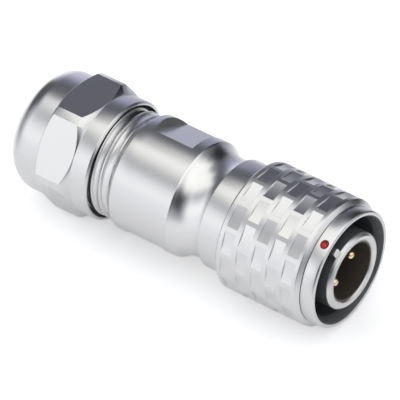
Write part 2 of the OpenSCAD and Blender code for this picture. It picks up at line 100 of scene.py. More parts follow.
def written(name, points, faces, finish, materials):
    """Mesh object from loose points, four-cornered faces and a finish number for each face.

    Points that fall on one place are joined, a face keeps its different corners, and faces with fewer than
    three are dropped. The signed volume, a sixth of the sum of a . (b x c) over the triangles, tells whether
    the faces look outwards. Edges are sharp where two finishes meet or the faces turn by more than
    SMOOTH_BELOW.
    """
    _, first, number = np.unique(np.round(points / JOIN_WITHIN).astype(np.int64), axis=0,
                                 return_index=True, return_inverse=True)
    points, faces = points[first], number.reshape(-1)[faces]
    same = faces == np.roll(faces, -1, axis=1)
    crossed = (faces[:, 0] == faces[:, 2]) | (faces[:, 1] == faces[:, 3])
    quads = (same.sum(1) == 0) & ~crossed
    thirds = (same.sum(1) == 1) & ~crossed
    lost = np.argmax(same[thirds], axis=1)
    keep = (lost[:, None] + np.array([[1, 2, 3]])) % 4
    triangles = np.take_along_axis(faces[thirds], keep, axis=1)
    halves = np.concatenate([faces[quads][:, [0, 1, 2]], faces[quads][:, [0, 2, 3]], triangles])
    a, b, c = points[halves[:, 0]], points[halves[:, 1]], points[halves[:, 2]]
    outward = 1 if (a * np.cross(b, c)).sum() > 0 else -1
    corners = faces[quads][:, ::outward].tolist() + triangles[:, ::outward].tolist()
    finish = np.concatenate([finish[quads], finish[thirds]])
    mesh = bpy.data.meshes.new(name)
    mesh.from_pydata((points * MM).tolist(), [], corners)
    for material in materials:
        mesh.materials.append(material)
    mesh.polygons.foreach_set("material_index", finish.astype(np.int32))
    mesh.shade_smooth()
    mesh.set_sharp_from_angle(angle=SMOOTH_BELOW)
    sharp = np.zeros(len(mesh.edges), bool)
    mesh.attributes["sharp_edge"].data.foreach_get("value", sharp)
    around = np.zeros(len(mesh.loops), np.int32)
    mesh.loops.foreach_get("edge_index", around)
    own = np.repeat(finish, [len(face) for face in corners])
    low = np.full(len(mesh.edges), len(materials))
    high = np.full(len(mesh.edges), -1)
    np.minimum.at(low, around, own)
    np.maximum.at(high, around, own)
    mesh.attributes["sharp_edge"].data.foreach_set("value", sharp | (low != high))
    piece = bpy.data.objects.new(name, mesh)
    bpy.context.scene.collection.objects.link(piece)
    return piece


def turned(name, x, radius, clock, materials, finish=None, centre=(0, 0)):
    """Closed piece of revolution: its points are (x, -radius sin(clock), radius cos(clock)) round the centre.

    x and radius have one row for each point of the closed outline and one column for each clock angle, or
    one column for all. finish has one number for each face between two rows and two columns.
    """
    clock = np.radians(np.asarray(clock, float))
    rows = len(x)
    x = np.broadcast_to(np.asarray(x, float).reshape(rows, -1), (rows, len(clock)))
    radius = np.broadcast_to(np.asarray(radius, float).reshape(rows, -1), (rows, len(clock)))
    points = np.stack([x, centre[0] - radius * np.sin(clock), centre[1] + radius * np.cos(clock)], -1)
    index = np.arange(x.size).reshape(rows, -1)
    faces = grid_faces(np.concatenate([index, index[:1]]))
    if finish is None:
        finish = np.zeros((rows, len(clock) - 1), int)
    return written(name, points.reshape(-1, 3), faces, np.asarray(finish).reshape(-1), materials)


def node_group(name, inputs, outputs):
    """Empty shader node group with float inputs {name: value} and float outputs [name]."""
    group = bpy.data.node_groups.new(name, "ShaderNodeTree")
    for label, value in inputs.items():
        socket = group.interface.new_socket(label, in_out="INPUT", socket_type="NodeSocketFloat")
        socket.default_value = value
    for label in outputs:
        group.interface.new_socket(label, in_out="OUTPUT", socket_type="NodeSocketFloat")
    return group, group.nodes.new("NodeGroupInput").outputs, group.nodes.new("NodeGroupOutput").inputs


def node(tree, kind, links=None, **settings):
    """New node in a tree: settings are its properties or input values, links join {input: output socket}."""
    made = tree.nodes.new(kind)
    for label, value in settings.items():
        if hasattr(made, label):
            setattr(made, label, value)
        else:
            made.inputs[label.replace("_", " ")].default_value = value
    for label, source in (links or {}).items():
        tree.links.new(source, made.inputs[label])
    return made


def worked_out(tree, operation, *terms):
    """Output of a new Math node, whose terms are output sockets or plain numbers."""
    made = node(tree, "ShaderNodeMath", operation=operation)
    for place, term in zip(made.inputs, terms):
        if isinstance(term, bpy.types.NodeSocket):
            tree.links.new(term, place)
        else:
            place.default_value = term
    return made.outputs[0]


# Lathe lines: fine rings of uneven depth along X, and a slow mottle from plating and handling
lathe, lathe_in, lathe_out = node_group(
    "lathe_lines", {"Lines": 9000.0, "Level": 0.25, "Spread": 0.05}, ["Roughness", "Height"])
lathe_where = node(lathe, "ShaderNodeTexCoord").outputs["Object"]
along = node(lathe, "ShaderNodeSeparateXYZ", {"Vector": lathe_where}).outputs["X"]
ring_place = worked_out(lathe, "MULTIPLY", along, lathe_in["Lines"])
rings = node(lathe, "ShaderNodeTexNoise", {"W": ring_place}, noise_dimensions="1D", Scale=1.0, Detail=3.0)
mottle = node(lathe, "ShaderNodeTexNoise", {"Vector": lathe_where}, Scale=260.0, Detail=4.0)
uneven = worked_out(lathe, "ADD", mottle.outputs["Fac"], rings.outputs["Fac"])
swing = worked_out(lathe, "SUBTRACT", uneven, 1.0)
swing_spread = worked_out(lathe, "MULTIPLY", swing, lathe_in["Spread"])
lathe.links.new(worked_out(lathe, "ADD", swing_spread, lathe_in["Level"]), lathe_out["Roughness"])
lathe.links.new(rings.outputs["Fac"], lathe_out["Height"])

# Tone: a slow change of shade over a surface, from full colour to a little darker
tone, tone_in, tone_out = node_group("plate_tone", {"Scale": 120.0, "Depth": 0.03}, ["Shade"])
tone_where = node(tone, "ShaderNodeTexCoord").outputs["Object"]
tone_noise = node(tone, "ShaderNodeTexNoise", {"Vector": tone_where, "Scale": tone_in["Scale"]}, Detail=3.0)
tone_depth = worked_out(tone, "MULTIPLY", tone_noise.outputs["Fac"], tone_in["Depth"])
tone.links.new(worked_out(tone, "SUBTRACT", 1.0, tone_depth), tone_out["Shade"])


def new_material(name):
    """New material with nodes, and its node tree and Principled shader."""
    material = bpy.data.materials.new(name)
    material.use_nodes = True
    return material, material.node_tree, material.node_tree.nodes["Principled BSDF"]


def toned(tree, colour, depth):
    """Output with the colour times the tone's shade."""
    shade = node(tree, "ShaderNodeGroup", node_tree=tone, Depth=depth)
    mixed = node(tree, "ShaderNodeMix", data_type="RGBA", blend_type="MULTIPLY")
    mixed.inputs["Factor"].default_value = 1.0
    mixed.inputs[6].default_value = (*colour, 1)
    tree.links.new(shade.outputs["Shade"], mixed.inputs[7])
    return mixed.outputs[2]


def plated(name, colour, lines, roughness, spread, depth):
    """Plated metal: the colour times the tone's shade, with the lathe lines in its roughness and its bump."""
    material, tree, shader = new_material(name)
    shader.inputs["Metallic"].default_value = 1.0
    marks = node(tree, "ShaderNodeGroup", node_tree=lathe, Lines=lines, Level=roughness, Spread=spread)
    bump = node(tree, "ShaderNodeBump", {"Height": marks.outputs["Height"]}, Strength=0.35,
                Distance=depth * MM)
    tree.links.new(toned(tree, colour, depth=0.04), shader.inputs["Base Color"])
    tree.links.new(marks.outputs["Roughness"], shader.inputs["Roughness"])
    tree.links.new(bump.outputs["Normal"], shader.inputs["Normal"])
    return material


def moulded(name, colour, roughness, grain, depth, swing=0.08):
    """Moulded plastic or rubber: a fine grain in bump and roughness, and a slow shade over the colour."""
    material, tree, shader = new_material(name)
    where = node(tree, "ShaderNodeTexCoord").outputs["Object"]
    fine = node(tree, "ShaderNodeTexNoise", {"Vector": where}, Scale=grain, Detail=4.0).outputs["Fac"]
    rough = node(tree, "ShaderNodeMapRange", {"Value": fine}, To_Min=roughness - swing,
                 To_Max=roughness + swing)
    bump = node(tree, "ShaderNodeBump", {"Height": fine}, Strength=0.4, Distance=depth * MM)
    tree.links.new(toned(tree, colour, depth=0.3), shader.inputs["Base Color"])
    tree.links.new(rough.outputs["Result"], shader.inputs["Roughness"])
    tree.links.new(bump.outputs["Normal"], shader.inputs["Normal"])
    return material


CHROME = (0.72, 0.72, 0.725)
satin_chrome = plated("satin_chrome", CHROME, lines=9000, roughness=0.24, spread=0.06, depth=0.004)
black_lining = moulded("black_lining", (0.085, 0.09, 0.094), roughness=0.36, grain=6000, depth=0.002)
COLLAR_R, COLLAR_LEN, RIM_ROUND, COLLAR_EDGE, COLLAR_FOOT = 8.73, 2.1, 0.3, 0.03, 0.04
MOUTH_R, MOUTH_DEPTH, MOUTH_EDGE = 8.1, 1.3, 0.1
SOCKET_R, SOCKET_DEPTH = 7.4, 10.2
BARREL_R, BARREL_END, BARREL_EDGE, REAR_BORE_R = 8.12, -19.91, 0.12, 6.9
FLOOR_REAR, FLOOR_HOLE_R = -11.0, 5.77
STOP_GROOVE_R, STOP_FRONT, STOP_REAR = 7.76, -13.89, -14.53
LINING_PLAY = 0.01
shell_outline = eased([
    (0, COLLAR_R, RIM_ROUND), (-COLLAR_LEN, COLLAR_R, COLLAR_EDGE), (-COLLAR_LEN, BARREL_R, COLLAR_FOOT),
    (STOP_FRONT, BARREL_R, 0), (STOP_FRONT, STOP_GROOVE_R, 0),
    (STOP_REAR, STOP_GROOVE_R, 0), (STOP_REAR, BARREL_R, 0),
    (BARREL_END, BARREL_R, BARREL_EDGE), (BARREL_END, REAR_BORE_R, FINE_EDGE), (FLOOR_REAR, REAR_BORE_R, 0),
    (FLOOR_REAR, FLOOR_HOLE_R, 0), (-SOCKET_DEPTH, FLOOR_HOLE_R, 0), (-SOCKET_DEPTH, SOCKET_R, 0),
    (-MOUTH_DEPTH, SOCKET_R, FINE_EDGE), (-MOUTH_DEPTH, MOUTH_R, 0), (0, MOUTH_R, MOUTH_EDGE)])
shell_clock = clocks(ROUND_STEPS)
in_socket = shell_outline[:, 0] > -SOCKET_DEPTH - LINING_PLAY
in_socket &= shell_outline[:, 1] < MOUTH_R - LINING_PLAY
lined = in_socket & np.roll(in_socket, -1)
shell_finish = np.repeat(lined.astype(int)[:, None], len(shell_clock) - 1, axis=1)
front_shell = turned("front_shell", shell_outline[:, 0], shell_outline[:, 1], shell_clock,
                     [satin_chrome, black_lining], shell_finish)
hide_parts("plug_shell")
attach(front_shell, "plug_body")

# Red dot: a drop of enamel in a drilled seat on the collar, in line with the key, domed and glossy.
# It shows the user which way round the plug goes in. Its colour holds painted light and painted shade.
KEY_CLOCK = 32.5
DOT_R, DOT_X, DOT_DEPTH, DOT_DOME, DOT_SINK = 0.675, -0.98, 0.38, 0.14, 0.0196
DOT_BOTTOM, DOT_WALL, DOME_STEPS, DOT_STEPS = 0.2, 0.4, 13, 48
# Painted light in a middle set a degree off the dot's centre, and painted shade towards its edge
PAINTED_LIT_RED, PAINTED_SHADE_RED = (0.72, 0.05, 0.03, 1), (0.12, 0.005, 0.005, 1)
LIT_MIDDLE_OFF, LIT_STOP, SHADE_STOP, SHADE_WEIGHT = 1.0, 0.48, 0.88, 0.5
key_turn, lit_middle_turn = np.radians(KEY_CLOCK), np.radians(KEY_CLOCK + LIT_MIDDLE_OFF)
red_enamel, red_tree, red_shader = new_material("red_enamel")
red_where = node(red_tree, "ShaderNodeTexCoord").outputs["Object"]
red_cloud = node(red_tree, "ShaderNodeTexNoise", {"Vector": red_where}, Scale=7000.0, Detail=2.0)
red_from_lit_middle = node(red_tree, "ShaderNodeVectorMath", {0: red_where}, operation="DISTANCE")
red_from_lit_middle.inputs[1].default_value = (DOT_X * MM, -COLLAR_R * MM * np.sin(lit_middle_turn),
                                   COLLAR_R * MM * np.cos(lit_middle_turn))
red_painted_shade = worked_out(red_tree, "MULTIPLY_ADD", red_from_lit_middle.outputs["Value"], SHADE_WEIGHT / (DOT_R * MM),
                      red_cloud.outputs["Fac"])
# The ramp paints the dot pale in its lit middle and dark in the shade towards its edge
red_shade_ramp = node(red_tree, "ShaderNodeValToRGB", {"Fac": red_painted_shade})
lit_end, shade_end = red_shade_ramp.color_ramp.elements
lit_end.position, lit_end.color = LIT_STOP, PAINTED_LIT_RED
shade_end.position, shade_end.color = SHADE_STOP, PAINTED_SHADE_RED
red_tree.links.new(red_shade_ramp.outputs["Color"], red_shader.inputs["Base Color"])
red_shader.inputs["Roughness"].default_value = 0.3
red_shader.inputs["Specular IOR Level"].default_value = 0.2


def dot_points(share, turn):
    """Points of the dot's closed skin, from its own axis: height over the collar and two places across.

    share runs from the middle of the bottom out to DOT_BOTTOM, up the wall to DOT_WALL, and in over the dome
    to 1; the dome's height falls off as the square of the distance from its middle.
    """
    out = np.interp(share, [0, DOT_BOTTOM, DOT_WALL, 1], [0, DOT_R, DOT_R, 0])
    wall = np.interp(share, [DOT_BOTTOM, DOT_WALL], [-DOT_DEPTH, 0.0])
    high = np.where(share > DOT_WALL, DOT_DOME * (1 - (out / DOT_R) ** 2), wall)
    return high, out * np.cos(turn), out * np.sin(turn)


dot_share, dot_turn = np.meshgrid(
    np.concatenate([[0, DOT_BOTTOM], np.linspace(DOT_WALL, 1, DOME_STEPS + 1)]),
    np.linspace(0, 2 * np.pi, DOT_STEPS + 1), indexing="ij")
dot_high, dot_side, dot_along = dot_points(dot_share, dot_turn)
dot_radius = COLLAR_R - DOT_SINK + dot_high
dot_spots = np.stack([DOT_X + dot_along, -dot_radius * np.sin(key_turn) - dot_side * np.cos(key_turn),
                      dot_radius * np.cos(key_turn) - dot_side * np.sin(key_turn)], -1)
dot_faces = grid_faces(np.arange(dot_share.size).reshape(dot_share.shape))
red_dot = written("red_dot", dot_spots.reshape(-1, 3), dot_faces, np.zeros(len(dot_faces), int), [red_enamel])
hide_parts("index_dot")
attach(red_dot, "plug_body")

# Mouth liner: a black plastic ring pressed into the collar's mouth, with a tapered lead-in edge.
# It keeps the mating half from scraping on the chrome.
LINER_FRONT, LINER_REAR, LINER_LIP, LINER_SEAT, LINER_EDGE = -0.14, -1.28, 0.12, 0.02, 0.04
liner_outline = eased([
    (LINER_FRONT, MOUTH_R - LINER_SEAT, 0), (LINER_REAR, MOUTH_R - LINER_SEAT, 0),
    (LINER_REAR, SOCKET_R, 0), (LINER_FRONT, MOUTH_R - LINER_LIP, LINER_EDGE)])
mouth_liner = turned("liner_ring", liner_outline[:, 0], liner_outline[:, 1], clocks(ROUND_STEPS),
                     [black_lining])
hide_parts("mouth_liner")
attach(mouth_liner, "plug_body")

# Key shell: a nickel-plated turned tube with one milled key ridge, held in the front shell by its rear
# flange. The mating half slides over it. Its outside lies in the lined socket and is black below the rim.
nickel = plated("satin_nickel", (0.72, 0.715, 0.71), lines=7000, roughness=0.3, spread=0.08, depth=0.004)
KEY_SHELL_R, KEY_BORE_R, KEY_PROUD, KEY_ROUND, ROUND_POINTS = 5.75, 4.7, 0.65, 0.6, 14
LIP_REAR, LIP_R, LIP_FRONT_R, LIP_EDGE = 0.34, 4.45, 4.75, 0.03
NOSE_R, NOSE_EDGE, BLACK_FRONT = 5.36, 0.4515, 0.07
KEY_WIDTH, KEY_TOP_R, KEY_FRONT, KEY_REAR, KEY_EDGE = 1.1, 7.25, 0.33, -4.97, 0.08
KEY_FLANGE_R, KEY_FLANGE_FRONT, KEY_FLANGE_REAR = 6.88, -11.02, -12.0
INSERT_SEAT_R, INSERT_SEAT = 5.0, -9.88
CLOCK_HAIR = 1e-5
side, top = KEY_WIDTH / 2, KEY_TOP_R
key_places = np.array([[0, top], [side - KEY_EDGE, top], [side, top - KEY_EDGE],
                       [side, np.sqrt(KEY_SHELL_R**2 - side**2)]])
key_reach = np.degrees(np.arctan2(key_places[:, 0], key_places[:, 1]))
tube_clock = clocks(ROUND_STEPS, np.concatenate([KEY_CLOCK + key_reach, KEY_CLOCK - key_reach]),
                    [(KEY_CLOCK, key_reach[-1])])
key_radius = np.interp(np.abs(tube_clock - KEY_CLOCK), key_reach, np.hypot(*key_places.T))
on_key = np.abs(tube_clock - KEY_CLOCK) < key_reach[-1] - CLOCK_HAIR


def nose_radius(x):
    """Outside radius of the tube near its front.

    It is a straight bevel from NOSE_R at the front to where it meets a quarter round of radius KEY_ROUND at
    NOSE_EDGE, then that round and the plain cylinder.
    """
    into = np.clip(x - (KEY_PROUD - KEY_ROUND), 0, KEY_ROUND)
    round_r = KEY_SHELL_R - KEY_ROUND + np.sqrt(KEY_ROUND**2 - into**2)
    edge_r = KEY_SHELL_R - KEY_ROUND + np.sqrt(KEY_ROUND**2 - (NOSE_EDGE - KEY_PROUD + KEY_ROUND) ** 2)
    bevel_r = NOSE_R + (edge_r - NOSE_R) * (KEY_PROUD - x) / (KEY_PROUD - NOSE_EDGE)
    return np.where(x > NOSE_EDGE, bevel_r, round_r)


# Rows of the tube's front: its bevel and round, and among them the key's front, its small bevel and its rear
round_x = KEY_PROUD - KEY_ROUND * (1 - np.sin(np.linspace(np.pi / 2, 0, ROUND_POINTS)))
round_x = np.concatenate([[KEY_PROUD, NOSE_EDGE], round_x[round_x < NOSE_EDGE]])
nose_x = np.concatenate([round_x[round_x > KEY_FRONT], [KEY_FRONT] * 2, [KEY_FRONT - KEY_EDGE],
                         round_x[round_x < KEY_FRONT - KEY_EDGE], [KEY_REAR] * 2])
nose_row = np.arange(len(nose_x))
key_rows = nose_row > np.argmax(nose_x == KEY_FRONT)
key_rows[-1] = False
key_set_in = np.where(nose_row == np.argmax(key_rows), KEY_EDGE, 0)
nose_r = np.where(key_rows[:, None] & on_key, key_radius - key_set_in[:, None], nose_radius(nose_x)[:, None])
tube_rear = eased([
    (KEY_REAR, KEY_SHELL_R, 0), (KEY_FLANGE_FRONT, KEY_SHELL_R, 0),
    (KEY_FLANGE_FRONT, KEY_FLANGE_R, FINE_EDGE), (KEY_FLANGE_REAR, KEY_FLANGE_R, FINE_EDGE),
    (KEY_FLANGE_REAR, INSERT_SEAT_R, 0), (INSERT_SEAT, INSERT_SEAT_R, 0), (INSERT_SEAT, KEY_BORE_R, 0),
    (LIP_REAR, KEY_BORE_R, 0), (LIP_REAR, LIP_R, LIP_EDGE), (KEY_PROUD, LIP_FRONT_R, FINE_EDGE)])[CORNER:]
tube_x = np.concatenate([nose_x, tube_rear[:, 0]])
tube_radius = np.concatenate([nose_r, np.repeat(tube_rear[:, 1:], len(tube_clock), axis=1)])
tube_finish = np.zeros((len(tube_x), len(tube_clock) - 1), int)
tube_finish[np.argmax(nose_x < BLACK_FRONT):len(nose_x) + CORNER - 1] = 1
key_tube = turned("key_tube", tube_x, tube_radius, tube_clock, [nickel, black_lining], tube_finish)
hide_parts("key_shell")
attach(key_tube, "plug_body")

# Insulators: a moulded brown-black cup that carries the contacts in its floor, and the disc behind it.
# They are pushed into the key shell from the rear and held by the screw ring. The solids' own shapes stay.
insert_plastic = moulded("insert_plastic", (0.07, 0.061, 0.05), roughness=0.32, grain=7000, depth=0.004)
insert_plastic.node_tree.nodes["Principled BSDF"].inputs["Specular IOR Level"].default_value = 0.4


def dressed(finishes):
    """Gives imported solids, which keep their own shapes, their materials {node: material}."""
    for name, material in finishes.items():
        nodes[name].data.materials.clear()
        nodes[name].data.materials.append(material)


dressed({"insulator": insert_plastic, "rear_insulator": insert_plastic})

# Contacts: three turned brass pins, gold plated, with a rounded tip that has a small centre mark, a holding
# collar in the insulator, and a solder cup at the rear that is cut open on its outer side.
gold_plate = plated("gold_plate", (0.97, 0.82, 0.53), lines=12000, roughness=0.2, spread=0.05, depth=0.002)
PIN_COUNT, PIN_CIRCLE_R, PIN_R, PIN_HEAD_R, PIN_HEAD_REAR = 3, 2.6, 0.65, 0.75, -6.0
PIN_TIP, PIN_TIP_ROUND, DIMPLE_R, DIMPLE_DEPTH, DIMPLE_EDGE = -1.2, 0.62, 0.06, 0.06, 0.03
PIN_COLLAR_R, PIN_COLLAR_FRONT, PIN_COLLAR_REAR = 0.92, -9.44, -10.4
CUP_R, CUP_BORE_R, CUP_FRONT, CUP_END, CUP_OPEN = 0.85, 0.55, -12.6, -15.8, 2.0
PIN_STEPS, TIP_STEPS, CUT_REACH, CUT_HAIR = 48, 6, 90, 0.001
cup_floor = CUP_END + CUP_OPEN + PIN_R
pin_outline = eased([
    (PIN_TIP - DIMPLE_DEPTH, 0, 0), (PIN_TIP - DIMPLE_DEPTH, DIMPLE_R, 0), (PIN_TIP, DIMPLE_R, DIMPLE_EDGE),
    (PIN_TIP, PIN_HEAD_R, PIN_TIP_ROUND), (PIN_HEAD_REAR, PIN_HEAD_R, 0), (PIN_HEAD_REAR, PIN_R, 0),
    (PIN_COLLAR_FRONT, PIN_R, 0), (PIN_COLLAR_FRONT, PIN_COLLAR_R, FINE_EDGE),
    (PIN_COLLAR_REAR, PIN_COLLAR_R, FINE_EDGE), (PIN_COLLAR_REAR, PIN_R, 0), (CUP_FRONT, PIN_R, 0),
    (CUP_FRONT, CUP_R, FINE_EDGE), (CUP_END, CUP_R, FINE_EDGE), (CUP_END, CUP_BORE_R, FINE_EDGE),
    (cup_floor, CUP_BORE_R, 0), (cup_floor, 0, 0)], steps=TIP_STEPS)
cut_edges = np.array([-CUT_REACH - CUT_HAIR, -CUT_REACH + CUT_HAIR,
                      CUT_REACH - CUT_HAIR, CUT_REACH + CUT_HAIR])
for pin in range(PIN_COUNT):
    pin_clock = KEY_CLOCK + pin * 360 / PIN_COUNT
    pin_turn = np.radians(pin_clock)
    across = clocks(PIN_STEPS, pin_clock + cut_edges)
    cut_side = np.abs((across - pin_clock + 180) % 360 - 180) < CUT_REACH
    pin_x = np.repeat(pin_outline[:, :1], len(across), axis=1)
    pin_x = np.where(cut_side & (pin_x < CUP_END + CUP_OPEN), CUP_END + CUP_OPEN, pin_x)
    contact = turned(f"gold_contact_{pin + 1}", pin_x, pin_outline[:, 1:], across, [gold_plate],
                     centre=(-PIN_CIRCLE_R * np.sin(pin_turn), PIN_CIRCLE_R * np.cos(pin_turn)))
    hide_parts(f"contact_pin_{pin + 1}")
    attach(contact, "plug_body")

# Inner lock and seal: rubber rings, slotted screw ring, four steel balls in the barrel's holes, the open stop
# ring and the coil spring that pushes the sleeve forward and is squeezed when the sleeve is pulled back.
# They are hidden, so the solids' shapes stay.
seal_rubber = moulded("seal_rubber", (0.02, 0.02, 0.021), roughness=0.6, grain=5000, depth=0.008)
ball_steel = plated("ball_steel", (0.72, 0.72, 0.73), lines=3000, roughness=0.1, spread=0.03, depth=0.001)
spring_steel = plated("spring_steel", (0.56, 0.56, 0.57), lines=5000, roughness=0.32, spread=0.1, depth=0.002)
dressed({"face_seal": seal_rubber, "shell_o_ring": seal_rubber, "insert_retainer": nickel,
         "lock_ball_1": ball_steel, "lock_ball_2": ball_steel, "lock_ball_3": ball_steel,
         "lock_ball_4": ball_steel, "spring_stop_ring": spring_steel, "return_spring": spring_steel})
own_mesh(nodes["return_spring"])

# Release sleeve: turned and chromed, with five rings of flat milled facets in a brick bond that the fingers
# grip. It slides on the barrel against the spring, and a ring pressed into its rear end guides it.
milled_chrome = plated("milled_chrome", CHROME, lines=2500, roughness=0.19, spread=0.05, depth=0.003)
SLEEVE_R, SLEEVE_FRONT, SLEEVE_END, SLEEVE_BORE_R, SLEEVE_STEPS = 9.5, -2.16, -16.06, 8.17, 180
SLEEVE_FRONT_R, SLEEVE_BEVEL, BEVEL_FOOT, BEVEL_EASE = 8.8, 0.45, 0.06, 0.15
SLEEVE_EDGE, SLEEVE_EDGE_EASE = 0.3, 0.12
RELEASE_R, LAND_R, SEAT_R, SEAT_LEN = 8.907, 8.607, 9.007, 1.0
RELEASE_FRONT, LAND_FRONT, POCKET_FRONT = -3.7, -5.8, -8.0
KNURL_FIRST, KNURL_PITCH, KNURL_RINGS = -4.13, 2.53, 5
FACETS, FACET_LEN, FACET_DEPTH, FACET_SAG, FACET_EASE, FACET_LEAN = 15, 1.75, 0.145, 0.07, 0.02, 0.5
HAIR = 1e-6
facet_step = 360 / FACETS
facet_reach = np.degrees(np.arccos((SLEEVE_R - FACET_DEPTH) / SLEEVE_R))
facet_even = KEY_CLOCK + facet_step * np.arange(FACETS)
facet_odd = facet_even + facet_step / 2
sleeve_clock = clocks(SLEEVE_STEPS, np.concatenate([
    facet_even + facet_reach, facet_even - facet_reach, facet_odd + facet_reach, facet_odd - facet_reach]))


def facet_radius(clock, turn):
    """Radius of a ring of milled facets at each clock angle, or the round between them.

    A facet is a flat at the distance SLEEVE_R - FACET_DEPTH that the cutter hollowed a little: across it the
    sag falls off from its middle as 1 minus the square of the place, and the distance over cos(angle) is the
    radius.
    """
    off = (clock - KEY_CLOCK - turn + facet_step / 2) % facet_step - facet_step / 2
    place = np.clip(np.tan(np.radians(off)) / np.tan(np.radians(facet_reach)), -1, 1)
    flat = SLEEVE_R - FACET_DEPTH - FACET_SAG * (1 - place**2)
    return np.minimum(SLEEVE_R, flat / np.cos(np.radians(off)))


front_part = eased([
    (SLEEVE_FRONT, SLEEVE_BORE_R, FINE_EDGE), (SLEEVE_FRONT, SLEEVE_FRONT_R, BEVEL_FOOT),
    (SLEEVE_FRONT - SLEEVE_BEVEL, SLEEVE_R, BEVEL_EASE), (SLEEVE_END, SLEEVE_R, 0)])[:3 * CORNER]
rear_part = eased([
    (SLEEVE_FRONT, SLEEVE_R, 0), (SLEEVE_END + SLEEVE_EDGE, SLEEVE_R, SLEEVE_EDGE_EASE),
    (SLEEVE_END, SLEEVE_R - SLEEVE_EDGE, FINE_EDGE), (SLEEVE_END, SEAT_R, FINE_EDGE),
    (SLEEVE_END + SEAT_LEN, SEAT_R, 0), (SLEEVE_END + SEAT_LEN, RELEASE_R, 0), (POCKET_FRONT, RELEASE_R, 0),
    (POCKET_FRONT, LAND_R, 0), (LAND_FRONT, LAND_R, 0), (LAND_FRONT, RELEASE_R, 0),
    (RELEASE_FRONT, RELEASE_R, 0), (RELEASE_FRONT, SLEEVE_BORE_R, 0)])[CORNER:]

# A ring of facets has six rows: rim, eased edge and floor at each end. Each row has its place along the
# facet, the most that it may sink below the round, and the way in which its wall leans.
FACET_ROWS = 6
facet_ends = FACET_LEN / 2 * np.array([1, 1, 1, -1, -1, -1]) + FACET_EASE * np.array([1, 0, 0, 0, 0, -1])
facet_sink = np.tile([0, FACET_EASE, SLEEVE_R, SLEEVE_R, FACET_EASE, 0], KNURL_RINGS)[:, None]
facet_inward = np.tile([0, 0, -1, 1, 0, 0], KNURL_RINGS)[:, None]
ring_x = KNURL_FIRST - KNURL_PITCH * np.arange(KNURL_RINGS)
ring_turn = np.where(np.arange(KNURL_RINGS) % 2 == 0, facet_step / 2, 0)[:, None]
facet_r = np.repeat(facet_radius(sleeve_clock, ring_turn), FACET_ROWS, axis=0)
facet_r = np.maximum(facet_r, SLEEVE_R - facet_sink)
facet_x = (ring_x[:, None] + facet_ends).reshape(-1, 1) + FACET_LEAN * facet_inward * (SLEEVE_R - facet_r)
plain = np.ones((1, len(sleeve_clock)))
sleeve_x = np.concatenate([front_part[:, :1] * plain, facet_x, rear_part[:, :1] * plain])
sleeve_radius = np.concatenate([front_part[:, 1:] * plain, facet_r, rear_part[:, 1:] * plain])

# Each wall of a facet has a finish number of its own, so that the edges between them are sharp
sleeve_finish = np.zeros((len(sleeve_x), len(sleeve_clock) - 1), int)
on_facet = facet_radius((sleeve_clock[1:] + sleeve_clock[:-1]) / 2, ring_turn) < SLEEVE_R - HAIR
for wall, wall_finish in enumerate([3, 2, 1, 2, 3]):
    sleeve_finish[len(front_part) + wall + FACET_ROWS * np.arange(KNURL_RINGS)] = on_facet * wall_finish
sleeve_skin = turned("knurled_sleeve", sleeve_x, sleeve_radius, sleeve_clock,
                     [satin_chrome, milled_chrome, milled_chrome, milled_chrome], sleeve_finish)
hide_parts("release_sleeve")
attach(sleeve_skin, "sleeve")
GUIDE_REAR, GUIDE_FRONT, GUIDE_R = SLEEVE_END + 0.12, SLEEVE_END + 0.98, SEAT_R - 0.02
GUIDE_EDGE, GUIDE_LEAD, GUIDE_STEPS = 0.04, 0.08, 160
guide_outline = eased([
    (GUIDE_REAR, GUIDE_R, GUIDE_EDGE), (GUIDE_FRONT, GUIDE_R, GUIDE_EDGE),
    (GUIDE_FRONT, SLEEVE_BORE_R, GUIDE_EDGE), (GUIDE_REAR, SLEEVE_BORE_R, GUIDE_LEAD)])
end_ring = turned("guide_ring", guide_outline[:, 0], guide_outline[:, 1], clocks(GUIDE_STEPS), [nickel])
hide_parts("sleeve_end_ring")
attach(end_ring, "sleeve")

# Back shell: turned and chromed, with a threaded spigot in the barrel, a polished cove up to the plain body,
# two milled wrench flats and the gland thread. The cable's cores are soldered inside it.
polished_chrome = plated("polished_chrome", (0.775, 0.775, 0.775), lines=9000, roughness=0.235, spread=0.04,
                         depth=0.002)
SPIGOT_FRONT, SPIGOT_R, SPIGOT_EDGE, SPIGOT_BORE_R = -13.62, 6.85, 0.1, 5.4
RING_FRONT, RING_REAR, RING_GROOVE_R = -18.21, -19.21, 6.11
NECK_FRONT, NECK_LOW, NECK_R, COVE_R, COVE_TURN, COVE_POINTS = -19.93, -21.8967, 7.46, 4.3823, 41, 40
SHOULDER_R, SHOULDER_TURN, SHOULDER_EDGE, SHOULDER_POINTS = 0.5, 10, -25.013, 9
BODY_R, BODY_END, BODY_EDGE = 8.65, -34.813, 0.15
FLAT_FRONT, FLAT_REAR, FLAT_HALF, FLAT_LEAN, FLAT_FROM_KEY = -26.513, -33.013, 7.5, 0.65, -60
THREAD_END, THREAD_ROOT_R, THREAD_R, PITCH, THREAD_LEAD = -44.413, 7.08, 8.0, 1.5, 0.46
RUN_IN_FROM, RUN_IN, RUN_OFF, THREAD_NOSE, THREAD_NOSE_LEN = 0.25, 0.5, 0.7, 0.25, 0.5
RIDGE_FOOT, SPARE_TURNS, LAND_LEN, LAND_EASE, LAND_LIFT = 0.6, 3, 0.3, 0.15, 0.552
RIDGE_PLACE = np.array([0, 0.07, 0.09, 0.2, 0.23, 0.77, 0.8, 0.91, 0.93])
RIDGE_SHAPE = np.array([1, 1, 0.94, 0.06, 0, 0, 0.06, 0.94, 1])
GLAND_BORE_R, GLAND_FLOOR = 6.18, -36.013
flat_middle = KEY_CLOCK + FLAT_FROM_KEY
flat_reach = np.degrees(np.arccos(FLAT_HALF / BODY_R))
